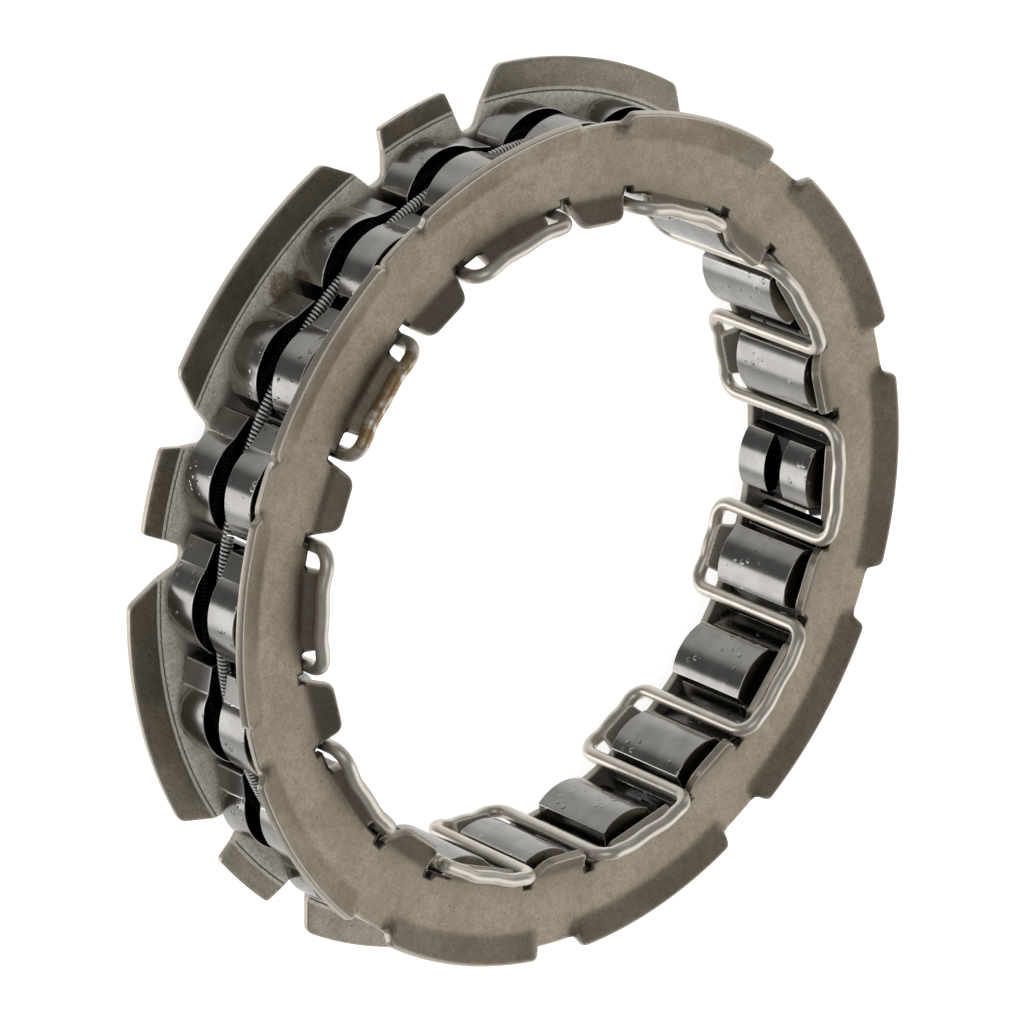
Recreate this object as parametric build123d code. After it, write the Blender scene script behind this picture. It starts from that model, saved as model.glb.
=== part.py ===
from build123d import *
import math
import os

# A caged sprag clutch, the one-way clutch that sits between two plain races.
# Twenty sprags stand between two pressed side plates, a zigzag wire keeps them
# apart and a garter spring in their outer grooves tips them towards the races.
# The axis is Z, +Z points to the front side plate, the origin is the centre.

# The inner race, and the radial space from it to the outer race
inner_race_diameter = 57.76
sprag_space = 8.335
overall_width = 15.5

# The pattern round the ring: two sprags to each wave of the wire
wave_count = 10

# The zigzag retaining wire, with mitred bends and a many-sided section
wire_diameter = 1.25
wire_sides = 8
wire_race_clearance = 0.5
wire_sprag_gap = 0.53
wire_bend_radius = 1.5
wire_bend_mitres = 3
wire_run_bow = 0.13
wire_standoff = 1.5
cut_run_wave = 8
cut_end_overrun = 1.2
cut_end_gap = 0.05

# The two side plates, pressed from one gauge of sheet
plate_thickness = 0.7
plate_edge_setback = 1.0
free_tab_wire_gap = 0.19
free_tab_end_half_angle = 4.3
free_tab_reach = 2.05
free_tab_rise = 1.2
free_tab_middle_rise = 0.46
front_short_tab_half_angle = 5.9
rear_short_tab_half_angle = 4.2
short_tab_length = 1.6
short_tab_taper_angle = 0.6
short_tab_bite = 0.03
relief_slot_width = 0.8
relief_slot_depth = 0.75
bend_root = 0.6

# The front plate's rim of ten flared flanges with flat pads between them
front_crease_setback = 1.6
front_pad_half_angle = 3.9
front_pad_overhang = 0.2
front_rim_overhang = 1.0
front_rim_rise = 1.0
front_flange_spread_angle = 0.6
front_flange_taper_angle = 0.7
front_relief_width = 0.7
front_relief_angle = 0.4
front_relief_setback = 0.8

# The rear plate's rim, where long and short flanges take turns
rear_pair_count = 6
rear_first_short_angle = 41.2
rear_root_setback = 1.7
rear_crease_overhang = 0.5
rear_long_overhang = 3.2
rear_short_overhang = 2.4
rear_rim_rise = 0.46
rear_short_half_angle = 6.1
rear_short_root_angle = 1.2
rear_short_taper_angle = 1.2
rear_notch_angle = 5.2
rear_long_root_angle = 1.6
rear_long_taper_angle = 3.3

# The sprag: an outer and an inner cam on one waisted body
sprag_side_gap = 0.575
outer_cam_radius = 5.09
outer_cam_toe_reach = 0.76
outer_cam_lift = 0.21
inner_cam_radius = 4.8
inner_cam_heel_reach = 0.4
inner_cam_lift = 0.05
inner_heel_length = 2.4
inner_toe_length = 3.0
toe_length = 4.25
toe_depth = 1.1
toe_undercut = 0.25
crease_length = 3.3
heel_length = 2.2
heel_drop = 1.05
heel_depth = 0.8
heel_root_breadth = 0.6
heel_root_rise = 1.2
waist_half_breadth = 2.9
waist_drop = 0.7
inner_grooved_sprag = 4
inner_groove_depth = 1.1

# The garter spring, drawn as the ring that its coils fill, and its groove
spring_setback = 2.17
spring_diameter = 1.2
spring_sides = 8
spring_segments = 50
groove_width = 2.0
groove_floor_gap = 0.2
groove_floor_slope = 12
groove_ridge_reach = 0.6

# Round the ring
sprag_count = 2 * wave_count
wave_angle = 360 / wave_count
sprag_angle = 360 / sprag_count

# Outwards from the axis
inner_race_radius = inner_race_diameter / 2
outer_race_radius = inner_race_radius + sprag_space
wire_radius = wire_diameter / 2
wire_line_radius = inner_race_radius + wire_race_clearance + wire_radius
plate_inner_radius = wire_line_radius + plate_edge_setback
front_crease_radius = outer_race_radius - front_crease_setback
front_pad_radius = outer_race_radius + front_pad_overhang
front_rim_radius = outer_race_radius + front_rim_overhang
rear_crease_radius = outer_race_radius + rear_crease_overhang
rear_rim_radius = outer_race_radius + rear_long_overhang
spring_line_radius = outer_race_radius - spring_setback

# Along the axis
wire_height = overall_width / 2 - wire_radius
plate_height = wire_height - wire_standoff
sprag_width = 2 * (plate_height - plate_thickness - sprag_side_gap)

# The wire's legs stand on both sides of each sprag under a rear run
rear_run_half_angle = math.degrees((waist_half_breadth + wire_sprag_gap + wire_radius) / wire_line_radius)
front_run_half_angle = wave_angle / 2 - rear_run_half_angle
first_run = wave_angle / 2
free_tab_half_angle = rear_run_half_angle - math.degrees((wire_radius + free_tab_wire_gap) / wire_line_radius)
front_flange_half_angle = wave_angle / 2 - front_pad_half_angle


def polar(radius, degrees, height=0.0):
    """Point at a radius and an angle round the clutch's axis."""
    angle = math.radians(degrees)
    return Vector(radius * math.cos(angle), radius * math.sin(angle), height)


def around(degrees):
    """Unit vector along the ring at an angle."""
    angle = math.radians(degrees)
    return Vector(-math.sin(angle), math.cos(angle), 0)


def sheet_section(outside):
    """Section of bent sheet: its outside face as (radius, height) points, then its back."""
    normals = []
    for start, end in zip(outside, outside[1:]):
        length = math.hypot(end[0] - start[0], end[1] - start[1])
        normals.append(((end[1] - start[1]) / length, -(end[0] - start[0]) / length))
    back = []
    for index, point in enumerate(outside):
        before = normals[max(index - 1, 0)]
        after = normals[min(index, len(normals) - 1)]
        mitre = plate_thickness / (1 + before[0] * after[0] + before[1] * after[1])
        back.append((point[0] + mitre * (before[0] + after[0]), point[1] + mitre * (before[1] + after[1])))
    corners = outside + back[::-1]
    return Plane.XZ * make_face(Polyline(*corners, close=True))


def sheet_ring(outside):
    """Full ring of bent sheet about the axis."""
    return revolve(sheet_section(outside), Axis.Z)


def inner_tabs(outside, first_centre, root_half_angle, end_half_angle):
    """Ring of straight bent tabs on the plate's inner edge, narrowing from root to end."""
    strip = extrude(sheet_section(outside), amount=plate_inner_radius / 2, both=True)
    root = (outside[-1][0] + bend_root, root_half_angle)
    end = (outside[0][0] - plate_thickness, end_half_angle)
    tab = strip & wedge_stencil(0, end, root)
    return [Rotation(0, 0, first_centre + wave * wave_angle) * tab for wave in range(wave_count)]


def prism(face):
    """Tall prism over a face, longer than the clutch is wide."""
    return extrude(face, amount=overall_width / 2, both=True)


def wedge_stencil(centre, inner, outer):
    """Prism over a wedge: inner and outer are (radius, half angle) pairs."""
    corners = [
        polar(inner[0], centre - inner[1]),
        polar(outer[0], centre - outer[1]),
        polar(outer[0], centre + outer[1]),
        polar(inner[0], centre + inner[1]),
    ]
    return prism(make_face(Polyline(*corners, close=True)))


def slot_stencil(centre, inner_radius, outer_radius, width):
    """Prism over a radial slot with straight sides."""
    middle = Location(polar((inner_radius + outer_radius) / 2, centre), (0, 0, centre))
    return prism(middle * Rectangle(outer_radius - inner_radius, width))


def seat_slope():
    """Slope at which a short tab leaves the plate so that the wire's run lies on it."""
    distance = math.hypot(plate_edge_setback, wire_standoff)
    turn = math.asin((wire_radius - short_tab_bite) / distance)
    return math.atan2(wire_standoff, plate_edge_setback) - turn


def short_tabs(first_centre, half_angle):
    """The tabs under the wire's runs, bent up from the inner edge to meet the wire."""
    slope = seat_slope()
    outside = [
        (plate_inner_radius - short_tab_length * math.cos(slope), short_tab_length * math.sin(slope)),
        (plate_inner_radius, 0.0),
        (plate_inner_radius + bend_root, 0.0),
    ]
    return inner_tabs(outside, first_centre, half_angle, half_angle - short_tab_taper_angle)


def free_tabs():
    """The curled tabs that stand free between the wire's front runs."""
    outside = [
        (plate_inner_radius - free_tab_reach, free_tab_rise),
        (plate_inner_radius - free_tab_reach / 2, free_tab_middle_rise),
        (plate_inner_radius, 0.0),
        (plate_inner_radius + bend_root, 0.0),
    ]
    return inner_tabs(outside, 0, free_tab_half_angle, free_tab_end_half_angle)


def relief_slots():
    """Small slots in the front plate's inner edge, one on each side of every free tab."""
    half_slot = math.degrees(relief_slot_width / 2 / plate_inner_radius)
    start = plate_inner_radius - relief_slot_depth
    end = plate_inner_radius + relief_slot_depth
    slots = []
    for wave in range(wave_count):
        for side in (-1, 1):
            centre = wave * wave_angle + side * (free_tab_half_angle + half_slot)
            slots.append(slot_stencil(centre, start, end, relief_slot_width))
    return slots


def front_flanges():
    """The flared flanges over the wire's front runs."""
    root_radius = front_crease_radius - bend_root
    ring = sheet_ring([(root_radius, 0.0), (front_crease_radius, 0.0), (front_rim_radius, front_rim_rise)])
    inner = (root_radius, front_flange_half_angle + front_flange_spread_angle)
    outer = (front_rim_radius + plate_thickness, front_flange_half_angle - front_flange_taper_angle)
    stencils = [wedge_stencil(first_run + wave * wave_angle, inner, outer) for wave in range(wave_count)]
    return [ring & stencil for stencil in stencils]


def front_pads():
    """The flat pads of the rim between the flared flanges."""
    root_radius = front_crease_radius - bend_root
    ring = sheet_ring([(root_radius, 0.0), (front_pad_radius, 0.0)])
    inner = (root_radius, front_pad_half_angle)
    outer = (front_pad_radius + plate_thickness, front_pad_half_angle)
    return [ring & wedge_stencil(wave * wave_angle, inner, outer) for wave in range(wave_count)]


def front_rim_reliefs():
    """The slots that part each flared flange from the pads beside it."""
    start = outer_race_radius - front_relief_setback
    end = front_rim_radius + plate_thickness
    slot_angle = front_flange_half_angle + front_relief_angle
    slots = []
    for wave in range(wave_count):
        for side in (-1, 1):
            centre = first_run + wave * wave_angle + side * slot_angle
            slots.append(slot_stencil(centre, start, end, front_relief_width))
    return slots


def front_side_plate():
    """Front plate: flared flanges over the wire's front runs, flat pads between."""
    flat = sheet_ring([(plate_inner_radius, 0.0), (front_crease_radius, 0.0)])
    tabs = free_tabs() + short_tabs(first_run, front_short_tab_half_angle)
    plate = flat.fuse(*tabs, *front_flanges(), *front_pads())
    return Pos(0, 0, plate_height) * plate.cut(*relief_slots(), *front_rim_reliefs())


def rear_notch(short_centre, side):
    """Prism over the notch between a short flange and the long flange on one side of it."""
    long_edge = short_centre + side * (rear_short_half_angle + rear_notch_angle)
    short_edge = short_centre + side * rear_short_half_angle
    root_radius = outer_race_radius - rear_root_setback
    beyond = rear_rim_radius + plate_thickness
    corners = [
        polar(root_radius, long_edge - side * rear_long_root_angle),
        polar(rear_crease_radius, long_edge),
        polar(beyond, long_edge + side * rear_long_taper_angle),
        polar(beyond, short_edge - side * rear_short_taper_angle),
        polar(rear_crease_radius, short_edge),
        polar(root_radius, short_edge + side * rear_short_root_angle),
    ]
    return prism(make_face(Polyline(*corners, close=True)))


def rear_side_plate():
    """Rear plate: long and short flanges in turn, split by notches down to the root circle."""
    outside = [(plate_inner_radius, 0.0), (rear_crease_radius, 0.0), (rear_rim_radius, rear_rim_rise)]
    ring = sheet_ring(outside)
    plate = ring.fuse(*short_tabs(0, rear_short_tab_half_angle))
    inner = (outer_race_radius + rear_short_overhang, rear_short_half_angle)
    outer = (rear_rim_radius + plate_thickness, rear_short_half_angle)
    cuts = []
    for pair in range(rear_pair_count):
        short_centre = -(rear_first_short_angle + pair * 360 / rear_pair_count)
        cuts += [rear_notch(short_centre, -1), rear_notch(short_centre, 1)]
        cuts.append(wedge_stencil(short_centre, inner, outer))
    return Location((0, 0, -plate_height), (180, 0, 0)) * plate.cut(*cuts)


def bend_corners(leg_angle, run_side, end_side):
    """Corners of the mitred bend from a leg to the run beside it, at one end of the clutch."""
    along = around(leg_angle) * run_side
    up = Vector(0, 0, end_side)
    centre = polar(wire_line_radius, leg_angle, end_side * (wire_height - wire_bend_radius))
    centre += along * wire_bend_radius
    turn = math.radians(90 / wire_bend_mitres)
    reach = wire_bend_radius / math.cos(turn / 2)
    corners = []
    for mitre in range(wire_bend_mitres):
        angle = turn / 2 + mitre * turn
        corners.append(centre - along * (reach * math.cos(angle)) + up * (reach * math.sin(angle)))
    return corners


def run_middle(degrees, end_side):
    """Middle of a run, which bows out a little."""
    return polar(wire_line_radius + wire_run_bow, degrees, end_side * wire_height)


def retaining_wire():
    """One length of round wire bent into a zigzag, its two ends lapped at one corner."""
    first_leg = first_run + cut_run_wave * wave_angle - front_run_half_angle
    free_end = polar(wire_line_radius, first_leg, wire_height) - around(first_leg) * cut_end_overrun
    points = [free_end, run_middle(first_leg + front_run_half_angle, 1)]
    leg = first_leg + 2 * front_run_half_angle
    end_side = 1
    for half_wave in range(2 * wave_count - 1):
        half_angle = rear_run_half_angle if end_side == 1 else front_run_half_angle
        points += bend_corners(leg, -1, end_side)[::-1]
        points += bend_corners(leg, 1, -end_side)
        points.append(run_middle(leg + half_angle, -end_side))
        leg += 2 * half_angle
        end_side = -end_side
    points += bend_corners(leg, -1, end_side)[::-1]
    points.append(polar(wire_line_radius, leg, wire_height - wire_diameter - cut_end_gap))
    path = Polyline(*points)
    flat_upwards = 180 / wire_sides
    section = RegularPolygon(wire_radius, wire_sides, major_radius=False, rotation=flat_upwards)
    start = Plane(origin=path @ 0, x_dir=(0, 0, 1), z_dir=path % 0)
    return sweep(start * section, path=path, transition=Transition.RIGHT)


def garter_spring():
    """The closed ring that the garter spring's coils fill, in short straight lengths."""
    outer = RegularPolygon(spring_line_radius, spring_segments)
    path = outer.wire()
    flat_inwards = 180 / spring_sides
    section = RegularPolygon(spring_diameter / 2, spring_sides, major_radius=False, rotation=flat_inwards)
    start = Plane(origin=path @ 0, x_dir=(0, 0, 1), z_dir=path % 0)
    return sweep(start * section, path=path, transition=Transition.RIGHT)


def sprag_profile():
    """Section of a sprag whose middle is on the +X axis."""
    outer_peak = outer_race_radius + outer_cam_lift
    inner_peak = inner_race_radius - inner_cam_lift
    waist_radius = (outer_peak + inner_peak) / 2 - waist_drop

    def outer_cam(offset):
        rise = math.sqrt(outer_cam_radius ** 2 - (offset - outer_cam_toe_reach) ** 2)
        return (outer_peak - outer_cam_radius + rise, offset)

    def inner_cam(offset):
        rise = math.sqrt(inner_cam_radius ** 2 - (offset + inner_cam_heel_reach) ** 2)
        return (inner_peak + inner_cam_radius - rise, offset)

    toe = outer_cam(outer_cam_toe_reach + toe_length)
    toe_under = (toe[0] - toe_depth, toe[1] - toe_undercut)
    waist_right = (waist_radius, waist_half_breadth)
    inner_right = inner_cam(inner_toe_length - inner_cam_heel_reach)
    inner_left = inner_cam(-inner_heel_length - inner_cam_heel_reach)
    waist_left = (waist_radius, -waist_half_breadth)
    heel_root = (waist_radius + heel_root_rise, -waist_half_breadth - heel_root_breadth)
    crease = outer_cam(outer_cam_toe_reach - crease_length)
    heel = (crease[0] - heel_drop, crease[1] - heel_length)
    heel_under = (heel[0] - heel_depth, heel[1])
    return make_face([
        Line(heel, crease),
        ThreePointArc(crease, outer_cam(outer_cam_toe_reach), toe),
        Polyline(toe, toe_under, waist_right, inner_right),
        ThreePointArc(inner_right, inner_cam(-inner_cam_heel_reach), inner_left),
        Polyline(inner_left, waist_left, heel_root, heel_under, heel),
    ])


def spring_groove():
    """What the garter spring's groove takes out of a sprag: all outside a floor with a low ridge."""
    ridge = spring_line_radius - spring_diameter / 2 - groove_floor_gap
    reach = overall_width / 2
    fall = reach * math.tan(math.radians(groove_floor_slope))
    corners = [
        (ridge, groove_ridge_reach),
        (ridge - fall, groove_ridge_reach + reach),
        (ridge + reach, groove_ridge_reach + reach),
        (ridge + reach, groove_ridge_reach - reach),
        (ridge - fall, groove_ridge_reach - reach),
    ]
    return extrude(make_face(Polyline(*corners, close=True)), amount=groove_width / 2, both=True)


def inner_groove():
    """The shallow groove that one sprag has in its inner cam as well."""
    floor = inner_race_radius + inner_groove_depth
    return Pos(floor - overall_width / 2, 0, 0) * Box(overall_width, overall_width, groove_width)


def sprag(inner_grooved):
    """One sprag on the +X axis, grooved outside for the garter spring."""
    body = extrude(sprag_profile(), amount=sprag_width / 2, both=True) - spring_groove()
    if inner_grooved:
        body = body - inner_groove()
    return body


def build():
    """Every piece of the clutch by its name."""
    pieces = {
        "front_side_plate": front_side_plate(),
        "rear_side_plate": rear_side_plate(),
        "retaining_wire": retaining_wire(),
        "garter_spring": garter_spring(),
    }
    for number in range(1, sprag_count + 1):
        piece = sprag(number == inner_grooved_sprag)
        pieces[f"sprag_{number:02d}"] = Rotation(0, 0, (number - 1) * sprag_angle) * piece
    return pieces


os.makedirs("parts", exist_ok=True)
for name, piece in build().items():
    export_step(piece, os.path.join("parts", name + ".step"))
    print(name, round(piece.volume, 2))
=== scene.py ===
import math

import bpy
import bmesh
import numpy as np
from mathutils import Matrix, Vector, geometry, noise


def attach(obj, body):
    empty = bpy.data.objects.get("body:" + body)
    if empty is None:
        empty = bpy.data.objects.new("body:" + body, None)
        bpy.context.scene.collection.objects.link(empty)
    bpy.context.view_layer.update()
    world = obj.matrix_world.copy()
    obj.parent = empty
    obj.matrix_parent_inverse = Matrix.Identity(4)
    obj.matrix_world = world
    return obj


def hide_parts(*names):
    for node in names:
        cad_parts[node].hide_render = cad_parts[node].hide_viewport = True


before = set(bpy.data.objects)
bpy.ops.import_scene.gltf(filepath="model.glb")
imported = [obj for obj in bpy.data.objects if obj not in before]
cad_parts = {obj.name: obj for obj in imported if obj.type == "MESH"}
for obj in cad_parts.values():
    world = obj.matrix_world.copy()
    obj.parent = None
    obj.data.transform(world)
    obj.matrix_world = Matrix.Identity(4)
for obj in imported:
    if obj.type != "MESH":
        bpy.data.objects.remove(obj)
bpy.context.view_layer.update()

# Millimetres to Blender's metres
MM = 0.001

# The clutch's sizes, in millimetres, as its construction has them
inner_race_radius = 57.76 / 2
outer_race_radius = 74.43 / 2
overall_width = 15.5
wave_count = 10
wave_angle = 360 / wave_count
sprag_count = 2 * wave_count
sprag_angle = 360 / sprag_count
wire_radius = 1.25 / 2
wire_line_radius = inner_race_radius + 0.5 + wire_radius
wire_bend_radius = 1.5
wire_standoff = 1.5
wire_run_bow = 0.13
wire_run_sag = 0.1
wire_run_unevenness = 0.05
wire_leg_heights = (4.5, 3.0, 1.5, 0.0, -1.5, -3.0, -4.5)
wire_end_chamfer = 0.12
wire_lap_gap = 0.05
wire_height = overall_width / 2 - wire_radius
cut_run_wave = 8
cut_end_overrun = 1.2
plate_thickness = 0.7
plate_height = wire_height - wire_standoff
plate_inner_radius = wire_line_radius + 1.0
waist_half_breadth = 2.9
rear_run_half_angle = math.degrees((waist_half_breadth + 0.53 + wire_radius) / wire_line_radius)
front_run_half_angle = wave_angle / 2 - rear_run_half_angle
sprag_width = 2 * (plate_height - plate_thickness - 0.575)
groove_half_width = 1.0
spring_line_radius = outer_race_radius - 2.17
spring_radius = 0.6
spring_play = 0.04
spring_coil_count = 612
spring_coil_steps = 14
spring_wire_radius = 0.125

# Plate tabs and rims, in millimetres, with slopes and half angles in degrees
free_tab_half_width = 3.35
free_tab_end_half_width = 2.2
free_tab_length = 2.35
free_tab_slope = 36
free_tab_bend_length = 1.1
free_tab_bend_lead = 0.35
free_tab_side = 0.35
short_tab_length = 1.6
short_tab_slope = 37
short_tab_taper = 0.25
short_tab_bend_radius = 0.5
front_short_tab_half_angle = 6.9
rear_short_tab_half_angle = 4.2
relief_slot_width = 0.6
relief_slot_depth = 0.62
slot_shade_radius = 31.4
plate_row_start = 31.4
front_crease_radius = outer_race_radius - 1.6
front_flange_length = 2.78
front_flange_slope = 21
front_flange_bend_radius = 1.6
front_pad_radius = outer_race_radius + 0.2
front_flange_half_angle = 14.1
front_flange_root_turn = 0.3
front_flange_rim_turn = 0.5
# Where the bend of a front flange begins and ends to fade, in degrees past its side
front_flange_blend = (-0.1, 0.9)
rear_root_radius = outer_race_radius - 1.7
rear_crease_radius = outer_race_radius + 0.5
rear_long_length = 2.73
rear_short_length = 1.93
rear_flange_slope = 9.6
rear_flange_bend_radius = 0.6
# How far a rear flange widens to its root and narrows to its rim, in degrees at each side
rear_short_turns = (1.2, 0.7)
rear_long_turns = (1.6, 3.2)
score_offset = 0.12
score_breadth = 0.07
score_height = 0.07
rear_first_short_angle = 41.2
rear_pair_count = 6
rear_short_half_angle = 6.1
rear_notch_angle = 5.2
rear_long_half_angle = 180 / rear_pair_count - rear_short_half_angle - rear_notch_angle
sheet_edge_round = 0.11


def polar(radius, degrees, height=0.0):
    """Point at a radius and an angle round the clutch's axis."""
    angle = math.radians(degrees)
    return Vector((radius * math.cos(angle), radius * math.sin(angle), height))


def around(degrees):
    """Unit vector along the ring at an angle."""
    angle = math.radians(degrees)
    return Vector((-math.sin(angle), math.cos(angle), 0))


def smooth_step(value, low, high):
    """0 below low, 1 above high and smooth between, on numbers or arrays."""
    share = np.clip((value - low) / (high - low), 0.0, 1.0)
    return share * share * (3 - 2 * share)


def add_object(name, data):
    """Object in the scene with the given mesh or camera."""
    made = bpy.data.objects.new(name, data)
    bpy.context.scene.collection.objects.link(made)
    return made


def new_piece(name, points, faces):
    """Mesh object from points in millimetres."""
    mesh = bpy.data.meshes.new(name)
    mesh.from_pydata([[c * MM for c in point] for point in points], [], faces)
    mesh.validate()
    build = bmesh.new()
    build.from_mesh(mesh)
    bmesh.ops.recalc_face_normals(build, faces=build.faces)
    build.to_mesh(mesh)
    build.free()
    mesh.shade_smooth()
    return add_object(name, mesh)


def add_attribute(piece, name, values, domain="POINT"):
    """Value for each of the mesh's points or faces."""
    attribute = piece.data.attributes.new(name, "FLOAT", domain)
    attribute.data.foreach_set("value", np.asarray(values, dtype=np.float32))


# Outlines in the flat sheet: corners as (point, rounding, arc to the next corner)

def corner(point, rounding, arc=False):
    """Corner of an outline in the sheet's flat plane."""
    return Vector(point[:2]), rounding, arc


def edge_points(start, end, arc, spacing):
    """Points from start up to end, along a circle about the axis or straight."""
    steps = max(1, math.ceil((end - start).length / spacing))
    if not arc:
        return [start.lerp(end, step / steps) for step in range(steps)]
    first = math.atan2(start.y, start.x)
    turn = (math.atan2(end.y, end.x) - first + math.pi) % (2 * math.pi) - math.pi
    radius = start.length
    angles = [first + turn * step / steps for step in range(steps)]
    return [Vector((radius * math.cos(angle), radius * math.sin(angle))) for angle in angles]


def toward(start, end, arc, distance):
    """Point a small distance from start on the way to end."""
    if not arc:
        return start + (end - start).normalized() * distance
    turn = math.atan2(start.x * end.y - start.y * end.x, start.dot(end))
    angle = math.copysign(distance / start.length, turn)
    return Matrix.Rotation(angle, 2) @ start


def outline(corners, spacing=0.55, rounding_steps=5):
    """Closed loop of points through the corners, with each corner rounded."""
    loop = []
    for index, (point, rounding, arc) in enumerate(corners):
        before, _, arc_before = corners[index - 1]
        after, rounding_after, _ = corners[(index + 1) % len(corners)]
        enter = toward(point, before, arc_before, rounding)
        leave = toward(point, after, arc, rounding)
        for step in range(rounding_steps):
            share = step / rounding_steps
            loop.append(enter.lerp(point, share).lerp(point.lerp(leave, share), share))
        loop += edge_points(leave, toward(after, point, arc, rounding_after), arc, spacing)
    return loop


def ring_pairs(count, first=0):
    """Each index of a closed ring with the one after it."""
    return [(first + index, first + (index + 1) % count) for index in range(count)]


def inset_loop(loop, distance):
    """The loop moved sideways, to the left of its direction."""
    forward = np.roll(loop, -1, axis=0) - loop
    forward /= np.linalg.norm(forward, axis=1)[:, None]
    mean = forward + np.roll(forward, 1, axis=0)
    mean /= np.linalg.norm(mean, axis=1)[:, None]
    normal = np.stack([-mean[:, 1], mean[:, 0]], axis=1)
    stretch = np.clip((mean * forward).sum(axis=1), 0.5, 1.0)
    return loop + normal * (distance / stretch)[:, None]


def inside_loop(points, loop):
    """Which points lie inside the loop."""
    hits = np.zeros(len(points), dtype=bool)
    ends = np.roll(loop, -1, axis=0)
    for (x1, y1), (x2, y2) in zip(loop, ends):
        if y1 == y2:
            continue
        crosses = (points[:, 1] > y1) != (points[:, 1] > y2)
        limit = (x2 - x1) * (points[:, 1] - y1) / (y2 - y1) + x1
        hits ^= crosses & (points[:, 0] < limit)
    return hits


def distance_to_loop(points, loop):
    """Distance from each point to the nearest of the loop's points."""
    nearest = np.full(len(points), np.inf)
    for place in loop:
        nearest = np.minimum(nearest, np.hypot(*(points - place).T))
    return nearest


def fill_ring(outer, inner, extra, clearance=0.18):
    """Triangles between two loops, through the extra points that are clear of both."""
    keep = inside_loop(extra, outer) & ~inside_loop(extra, inner)
    for loop in (outer, inner):
        keep &= distance_to_loop(extra, loop) > clearance
    points = np.concatenate([outer, inner, extra[keep]])
    edges = ring_pairs(len(outer)) + ring_pairs(len(inner), len(outer))
    _, _, faces, source, _, _ = geometry.delaunay_2d_cdt(
        [Vector(point) for point in points], edges, [], 0, 1e-6)
    original = [ids[0] for ids in source]
    triangles = np.array([[original[index] for index in face] for face in faces])
    middles = points[triangles].mean(axis=1)
    good = inside_loop(middles, outer) & ~inside_loop(middles, inner)
    return points, triangles[good]


def bent_sheet(name, outer_corners, inner_corners, extra, bend):
    """Sheet metal with rounded cut edges, cut flat to two outlines and then bent.

    The outer outline runs anticlockwise and the inner one clockwise, so that the metal is on
    their left. bend takes flat places and depths under the outside face and gives points.
    """
    outer = np.array(outline(outer_corners))
    inner = np.array(outline(inner_corners))
    turns = np.radians([90, 60, 30, 0])
    size = sheet_edge_round
    edge_rows = [(size * (1 - math.cos(turn)), size * (1 - math.sin(turn))) for turn in turns]
    edge_rows += [(inset, plate_thickness - depth) for inset, depth in edge_rows[::-1]]
    flat_points, triangles = fill_ring(inset_loop(outer, size), inset_loop(inner, size), extra)
    count = len(flat_points)
    ring = len(outer) + len(inner)
    places = [flat_points, flat_points]
    depths = [np.zeros(count), np.full(count, plate_thickness)]
    # Marks on the cut edges, for their wear and for the painted highlight on them
    face_wear_and_highlight = np.zeros(count)
    face_wear_and_highlight[:ring] = 0.75
    wear_and_highlight = [face_wear_and_highlight, face_wear_and_highlight]
    faces = [tuple(triangle) for triangle in triangles]
    faces += [tuple(triangle + count)[::-1] for triangle in triangles]
    starts = [0]
    for inset, depth in edge_rows[1:-1]:
        starts.append(sum(len(part) for part in places))
        places.append(np.concatenate([inset_loop(outer, inset), inset_loop(inner, inset)]))
        depths.append(np.full(ring, depth))
        wear_and_highlight.append(np.ones(ring))
    starts.append(count)
    for above, below in zip(starts, starts[1:]):
        for here, after in ring_pairs(len(outer)) + ring_pairs(len(inner), len(outer)):
            faces.append((above + here, above + after, below + after, below + here))
    flat = np.concatenate(places)
    points = bend(flat, np.concatenate(depths))
    piece = new_piece(name, points, faces)
    add_attribute(piece, "wear_and_highlight", np.concatenate(wear_and_highlight))
    return piece


def bend_path(distance, parts):
    """Advance, rise and slope after a distance along bends given as (length, turn in degrees)."""
    advance = np.zeros_like(distance)
    rise = np.zeros_like(distance)
    slope = np.zeros_like(distance)
    left = np.maximum(distance, 0.0)
    for length, turn in parts:
        part = np.minimum(left, length)
        rate = math.radians(turn) / length
        if turn:
            advance += (np.sin(slope + rate * part) - np.sin(slope)) / rate
            rise += (np.cos(slope) - np.cos(slope + rate * part)) / rate
        else:
            advance += part * np.cos(slope)
            rise += part * np.sin(slope)
        slope = slope + rate * part
        left = left - part
    return advance, rise, slope


def sharp_bend(slope, radius, length):
    """Bend parts for one crease with the given inside radius, and a straight stretch after it."""
    turn = math.radians(slope)
    return [(radius * turn, slope), (length, 0.0)], radius * math.tan(turn / 2)


def tab_axes(centre):
    """Directions in the sheet along a tab and across it."""
    return np.array(polar(1, centre)[:2]), np.array(around(centre)[:2])


def bend_tabs(flat, depth, place, heights, centres, half_width, parts, lead, margin=0.25):
    """Bends straight tabs at the inner edge towards the outside face."""
    start = plate_inner_radius + lead
    for centre in centres:
        axis, side = tab_axes(centre)
        along = flat @ axis
        across = np.abs(flat @ side)
        chosen = (along < start) & (across < half_width + margin) & (along > 0)
        advance, rise, slope = bend_path(start - along[chosen], parts)
        new_along = start - advance - depth[chosen] * np.sin(slope)
        new_height = rise - depth[chosen] * np.cos(slope)
        weight = 1 - smooth_step(across[chosen], half_width, half_width + margin)
        place[chosen] += np.outer(new_along - along[chosen], axis) * weight[:, None]
        heights[chosen] += (new_height + depth[chosen]) * weight


def bend_short_tabs(flat, depth, place, heights, centres, half_angle):
    """Bends the short tabs up under the wire's runs."""
    parts, lead = sharp_bend(short_tab_slope, short_tab_bend_radius, short_tab_length)
    bend_tabs(flat, depth, place, heights, centres, short_tab_half_width(half_angle), parts, lead)


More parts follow.
